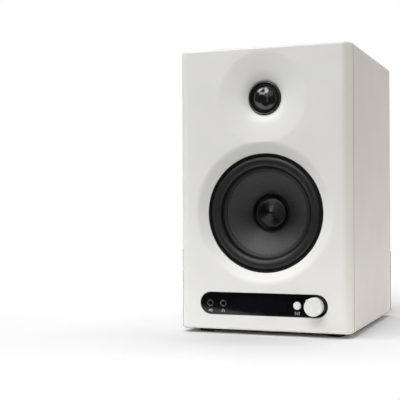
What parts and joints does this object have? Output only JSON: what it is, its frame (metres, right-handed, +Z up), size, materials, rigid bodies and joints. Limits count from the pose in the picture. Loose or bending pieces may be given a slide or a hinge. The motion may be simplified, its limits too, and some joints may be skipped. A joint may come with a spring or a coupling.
{
  "type": "bookshelf speaker",
  "caption": "Upright powered loudspeaker box with a cone woofer, a dome tweeter, a front control strip, and rear sockets, amplifier and bass port.",
  "frame": {"origin": "on the ground under the middle of the object's bounding box", "axes": "+Z up; the front baffle faces -Y; +X is to the right as seen from the front"},
  "size_m": [0.175, 0.2396, 0.2825],
  "materials": {
    "cabinet_paint": "matte white paint over fibreboard",
    "baffle_paint": "matte white paint over fibreboard",
    "bare_wood": "bare fibreboard",
    "foam": "open-cell acoustic foam",
    "black_plastic": "satin black moulding",
    "foot_rubber": "matte",
    "basket_steel": "black powder coat",
    "surround_rubber": "satin",
    "cone_weave": "fine woven fibre cone, matte",
    "cap_black": "satin",
    "coil_former": "lacquered",
    "copper": "enamelled copper wire",
    "spider_cloth": "resin-treated corrugated cloth",
    "motor_steel": "zinc plated",
    "ferrite": "matte sintered ferrite",
    "terminal_board": "tinned tabs on a fibre strip",
    "black_screw": "black oxide",
    "dome_cloth": "glossy black coated cloth",
    "dome_roll": "satin black coated cloth",
    "fascia_gloss": "high gloss black",
    "display_glass": "dark tinted",
    "circuit_board": "green solder mask",
    "socket_plastic": "matte",
    "white_plastic": "matte white moulding",
    "switch_grey": "matte",
    "shaft_metal": "turned",
    "plate_paint": "fine textured black powder coat",
    "sink_metal": "black anodised",
    "capacitor_sleeve": "printed sleeve over an aluminium can",
    "transformer_core": "ferrite core with taped winding",
    "rocker_gloss": "satin black",
    "rca_metal": "gold plated",
    "post_metal": "gold plated",
    "red_plastic": "clear-coated red",
    "cap_plastic_black": "satin black",
    "wire_insulation": "soft insulation"
  },
  "bodies": {
    "cabinet": {"cabinet_shell": "cabinet_paint", "front_baffle": "baffle_paint", "rear_panel": "cabinet_paint", "internal_brace": "bare_wood", "damping_foam": "foam", "port_tube": "black_plastic", "feet": "foot_rubber", "woofer_gasket": "black_plastic", "woofer_basket": "basket_steel", "woofer_surround": "surround_rubber", "woofer_spider": "spider_cloth", "woofer_top_plate": "motor_steel", "woofer_magnet": "ferrite", "woofer_yoke": "motor_steel", "woofer_terminals": "terminal_board", "tinsel_leads": "copper", "mounting_screws": "black_screw", "tweeter_face_ring": "black_plastic", "tweeter_surround": "dome_roll", "tweeter_top_plate": "motor_steel", "tweeter_magnet": "ferrite", "tweeter_yoke": "motor_steel", "tweeter_terminals": "terminal_board", "control_fascia": "fascia_gloss", "display_module": "display_glass", "front_board": "circuit_board", "audio_jacks": "socket_plastic", "eq_switch_body": "switch_grey", "encoder_body": "switch_grey", "amp_plate": "plate_paint", "amp_plate_screws": "black_screw", "amp_board": "circuit_board", "capacitors": "capacitor_sleeve", "heat_sink": "sink_metal", "power_supply_board": "circuit_board", "power_transformer": "transformer_core", "crossover_board": "circuit_board", "crossover_coils": "copper", "mains_inlet": "socket_plastic", "switch_frame": "socket_plastic", "rca_sockets": "rca_metal", "post_bodies": "post_metal", "internal_wiring": "wire_insulation"},
    "woofer_moving_parts": {"woofer_cone": "cone_weave", "woofer_dust_cap": "cap_black", "voice_coil_former": "coil_former", "voice_coil_winding": "copper"},
    "tweeter_moving_parts": {"tweeter_dome": "dome_cloth", "tweeter_coil": "copper"},
    "tone_button": {"eq_button": "white_plastic", "eq_switch_plunger": "switch_grey"},
    "volume_press": {"encoder_plunger": "switch_grey"},
    "volume_control": {"volume_knob": "white_plastic", "encoder_shaft": "shaft_metal"},
    "power_switch": {"power_rocker": "rocker_gloss"},
    "red_post_travel": {"red_post_washer": "post_metal"},
    "red_post_grip": {"red_post_cap": "red_plastic"},
    "black_post_travel": {"black_post_washer": "post_metal"},
    "black_post_grip": {"black_post_cap": "cap_plastic_black"}
  },
  "joints": [
    {"name": "woofer_excursion", "type": "slide", "parent": "cabinet", "child": "woofer_moving_parts", "axis": [0, -1, 0], "range_m": [-0.0045, 0.0045], "stiffness_N_per_m": 900, "deforming": ["woofer_surround", "woofer_spider", "tinsel_leads"]},
    {"name": "tweeter_excursion", "type": "slide", "parent": "cabinet", "child": "tweeter_moving_parts", "axis": [0, -1, 0], "range_m": [-0.0003, 0.0003], "stiffness_N_per_m": 1500, "deforming": ["tweeter_surround"]},
    {"name": "tone_button_press", "type": "slide", "parent": "cabinet", "child": "tone_button", "axis": [0, 1, 0], "range_m": [0, 0.0008], "stiffness_N_per_m": 400},
    {"name": "volume_knob_press", "type": "slide", "parent": "cabinet", "child": "volume_press", "axis": [0, 1, 0], "range_m": [0, 0.0005], "stiffness_N_per_m": 800},
    {"name": "volume_knob_turn", "type": "hinge", "parent": "volume_press", "child": "volume_control", "pos_m": [0.0519, -0.10825, 0.0302], "axis": [0, 1, 0], "continuous": true},
    {"name": "power_switch_tilt", "type": "hinge", "parent": "cabinet", "child": "power_switch", "pos_m": [-0.006, 0.10075, 0.0465], "axis": [0, 0, 1], "range_deg": [-14, 0]},
    {"name": "red_post_slide", "type": "slide", "parent": "cabinet", "child": "red_post_travel", "axis": [0, 1, 0], "range_m": [0, 0.004]},
    {"name": "red_post_turn", "type": "hinge", "parent": "red_post_travel", "child": "red_post_grip", "pos_m": [-0.028, 0.11175, 0.1125], "axis": [0, 1, 0], "range_deg": [0, 1800]},
    {"name": "black_post_slide", "type": "slide", "parent": "cabinet", "child": "black_post_travel", "axis": [0, 1, 0], "range_m": [0, 0.004]},
    {"name": "black_post_turn", "type": "hinge", "parent": "black_post_travel", "child": "black_post_grip", "pos_m": [-0.047, 0.11175, 0.1125], "axis": [0, 1, 0], "range_deg": [0, 1800]}
  ],
  "couplings": [
    {"joint": "red_post_turn", "follows": "red_post_slide", "rad_per_m": 7853.2},
    {"joint": "black_post_turn", "follows": "black_post_slide", "rad_per_m": 7853.2}
  ]
}
